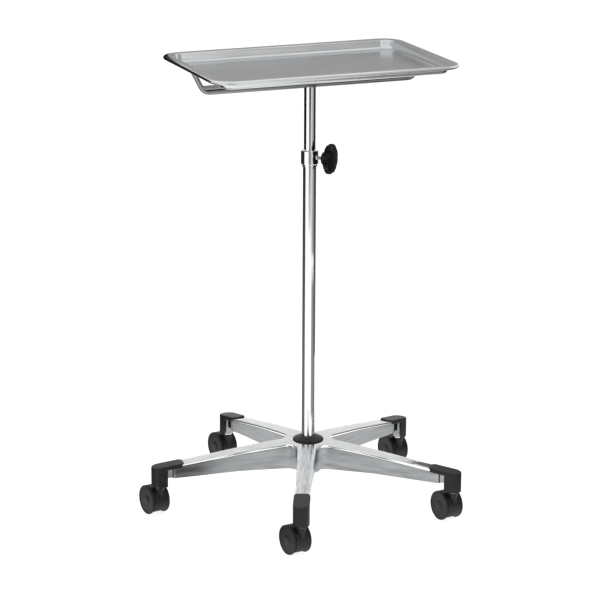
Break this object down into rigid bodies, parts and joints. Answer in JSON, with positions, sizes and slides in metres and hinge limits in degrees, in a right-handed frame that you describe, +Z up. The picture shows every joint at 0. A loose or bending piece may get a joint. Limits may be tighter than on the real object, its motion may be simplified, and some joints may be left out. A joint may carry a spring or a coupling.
{
  "type": "mayo instrument stand",
  "caption": "Wheeled mayo stand: a shallow rectangular steel tray on a rod frame, telescopic clamped post and star base with twin-wheel casters.",
  "frame": {"origin": "on the floor, on the axis of the post", "axes": "+X along the long side of the tray, +Y across the tray towards its back rim, +Z up"},
  "size_m": [0.5904, 0.6174, 0.865],
  "materials": {
    "stainless_sheet": "pressed stainless sheet, satin floor and bright rim",
    "chromed_steel": "bright chrome plate on steel tube and rod",
    "plain_steel": "zinc plated steel",
    "natural_nylon": "moulded natural nylon",
    "black_nylon": "moulded black nylon, fine satin texture",
    "black_phenolic": "moulded black phenolic",
    "caster_wheel_nylon": "moulded black nylon wheel",
    "brass": "turned brass",
    "cast_aluminium": "cast aluminium, polished upper faces and matt sides"
  },
  "bodies": {
    "base": {"star_base": "cast_aluminium", "hub_trim_ring": "black_nylon", "post_anchor_plug": "plain_steel", "post_washer": "plain_steel", "post_bolt": "plain_steel", "outer_tube": "chromed_steel", "guide_bush": "black_nylon", "clamp_collar": "chromed_steel", "leg_end_cap_1": "black_nylon", "leg_end_cap_2": "black_nylon", "leg_end_cap_3": "black_nylon", "leg_end_cap_4": "black_nylon", "leg_end_cap_5": "black_nylon", "caster_stem_1": "plain_steel", "caster_stem_2": "plain_steel", "caster_stem_3": "plain_steel", "caster_stem_4": "plain_steel", "caster_stem_5": "plain_steel"},
    "glide": {"inner_tube_foot_bush": "natural_nylon"},
    "upper": {"inner_tube": "chromed_steel", "tube_top_plug": "plain_steel", "tray_spine_rod": "chromed_steel", "tray_spine_stiffener": "chromed_steel", "tray_support_loop": "chromed_steel"},
    "tray": {"instrument_tray": "stainless_sheet"},
    "pad": {"clamp_pad": "brass"},
    "knob": {"clamp_knob": "black_phenolic", "clamp_screw": "plain_steel"},
    "caster_1": {"caster_hood_1": "black_nylon", "caster_axle_1": "plain_steel"},
    "wheel_left_1": {"caster_wheel_left_1": "caster_wheel_nylon"},
    "wheel_right_1": {"caster_wheel_right_1": "caster_wheel_nylon"},
    "caster_2": {"caster_hood_2": "black_nylon", "caster_axle_2": "plain_steel"},
    "wheel_left_2": {"caster_wheel_left_2": "caster_wheel_nylon"},
    "wheel_right_2": {"caster_wheel_right_2": "caster_wheel_nylon"},
    "caster_3": {"caster_hood_3": "black_nylon", "caster_axle_3": "plain_steel"},
    "wheel_left_3": {"caster_wheel_left_3": "caster_wheel_nylon"},
    "wheel_right_3": {"caster_wheel_right_3": "caster_wheel_nylon"},
    "caster_4": {"caster_hood_4": "black_nylon", "caster_axle_4": "plain_steel"},
    "wheel_left_4": {"caster_wheel_left_4": "caster_wheel_nylon"},
    "wheel_right_4": {"caster_wheel_right_4": "caster_wheel_nylon"},
    "caster_5": {"caster_hood_5": "black_nylon", "caster_axle_5": "plain_steel"},
    "wheel_left_5": {"caster_wheel_left_5": "caster_wheel_nylon"},
    "wheel_right_5": {"caster_wheel_right_5": "caster_wheel_nylon"}
  },
  "joints": [
    {"name": "height_slide", "type": "slide", "parent": "base", "child": "glide", "axis": [0, 0, 1], "range_m": [-0.085, 0.375]},
    {"name": "tray_swivel", "type": "hinge", "parent": "glide", "child": "upper", "pos_m": [0, 0, 0.5], "axis": [0, 0, 1], "continuous": true},
    {"name": "tray_lift", "type": "slide", "parent": "upper", "child": "tray", "axis": [0, 0, 1], "range_m": [0, 0.06]},
    {"name": "clamp_pad_slide", "type": "slide", "parent": "base", "child": "pad", "axis": [0.7361, -0.6769, 0], "range_m": [0, 0.0026]},
    {"name": "clamp_knob_turn", "type": "hinge", "parent": "pad", "child": "knob", "pos_m": [0.02944, -0.02707, 0.6797], "axis": [0.7361, -0.6769, 0], "range_deg": [0, 720]},
    {"name": "caster_swivel_1", "type": "hinge", "parent": "base", "child": "caster_1", "pos_m": [0.21494, -0.19765, 0.052], "axis": [0, 0, 1], "continuous": true},
    {"name": "wheel_left_turn_1", "type": "hinge", "parent": "caster_1", "child": "wheel_left_1", "pos_m": [0.21147, -0.17795, 0.028], "axis": [-0.9848, -0.1736, 0], "continuous": true},
    {"name": "wheel_right_turn_1", "type": "hinge", "parent": "caster_1", "child": "wheel_right_1", "pos_m": [0.21147, -0.17795, 0.028], "axis": [-0.9848, -0.1736, 0], "continuous": true},
    {"name": "caster_swivel_2", "type": "hinge", "parent": "base", "child": "caster_2", "pos_m": [0.25439, 0.14334, 0.052], "axis": [0, 0, 1], "continuous": true},
    {"name": "wheel_left_turn_2", "type": "hinge", "parent": "caster_2", "child": "wheel_left_2", "pos_m": [0.25092, 0.16304, 0.028], "axis": [-0.9848, -0.1736, 0], "continuous": true},
    {"name": "wheel_right_turn_2", "type": "hinge", "parent": "caster_2", "child": "wheel_right_2", "pos_m": [0.25092, 0.16304, 0.028], "axis": [-0.9848, -0.1736, 0], "continuous": true},
    {"name": "caster_swivel_3", "type": "hinge", "parent": "base", "child": "caster_3", "pos_m": [-0.05772, 0.28624, 0.052], "axis": [0, 0, 1], "continuous": true},
    {"name": "wheel_left_turn_3", "type": "hinge", "parent": "caster_3", "child": "wheel_left_3", "pos_m": [-0.06119, 0.30594, 0.028], "axis": [-0.9848, -0.1736, 0], "continuous": true},
    {"name": "wheel_right_turn_3", "type": "hinge", "parent": "caster_3", "child": "wheel_right_3", "pos_m": [-0.06119, 0.30594, 0.028], "axis": [-0.9848, -0.1736, 0], "continuous": true},
    {"name": "caster_swivel_4", "type": "hinge", "parent": "base", "child": "caster_4", "pos_m": [-0.29007, 0.03356, 0.052], "axis": [0, 0, 1], "continuous": true},
    {"name": "wheel_left_turn_4", "type": "hinge", "parent": "caster_4", "child": "wheel_left_4", "pos_m": [-0.29354, 0.05326, 0.028], "axis": [-0.9848, -0.1736, 0], "continuous": true},
    {"name": "wheel_right_turn_4", "type": "hinge", "parent": "caster_4", "child": "wheel_right_4", "pos_m": [-0.29354, 0.05326, 0.028], "axis": [-0.9848, -0.1736, 0], "continuous": true},
    {"name": "caster_swivel_5", "type": "hinge", "parent": "base", "child": "caster_5", "pos_m": [-0.12155, -0.2655, 0.052], "axis": [0, 0, 1], "continuous": true},
    {"name": "wheel_left_turn_5", "type": "hinge", "parent": "caster_5", "child": "wheel_left_5", "pos_m": [-0.12503, -0.2458, 0.028], "axis": [-0.9848, -0.1736, 0], "continuous": true},
    {"name": "wheel_right_turn_5", "type": "hinge", "parent": "caster_5", "child": "wheel_right_5", "pos_m": [-0.12503, -0.2458, 0.028], "axis": [-0.9848, -0.1736, 0], "continuous": true}
  ],
  "couplings": [
    {"joint": "clamp_pad_slide", "follows": "clamp_knob_turn", "m_per_rad": 0.00019894}
  ]
}
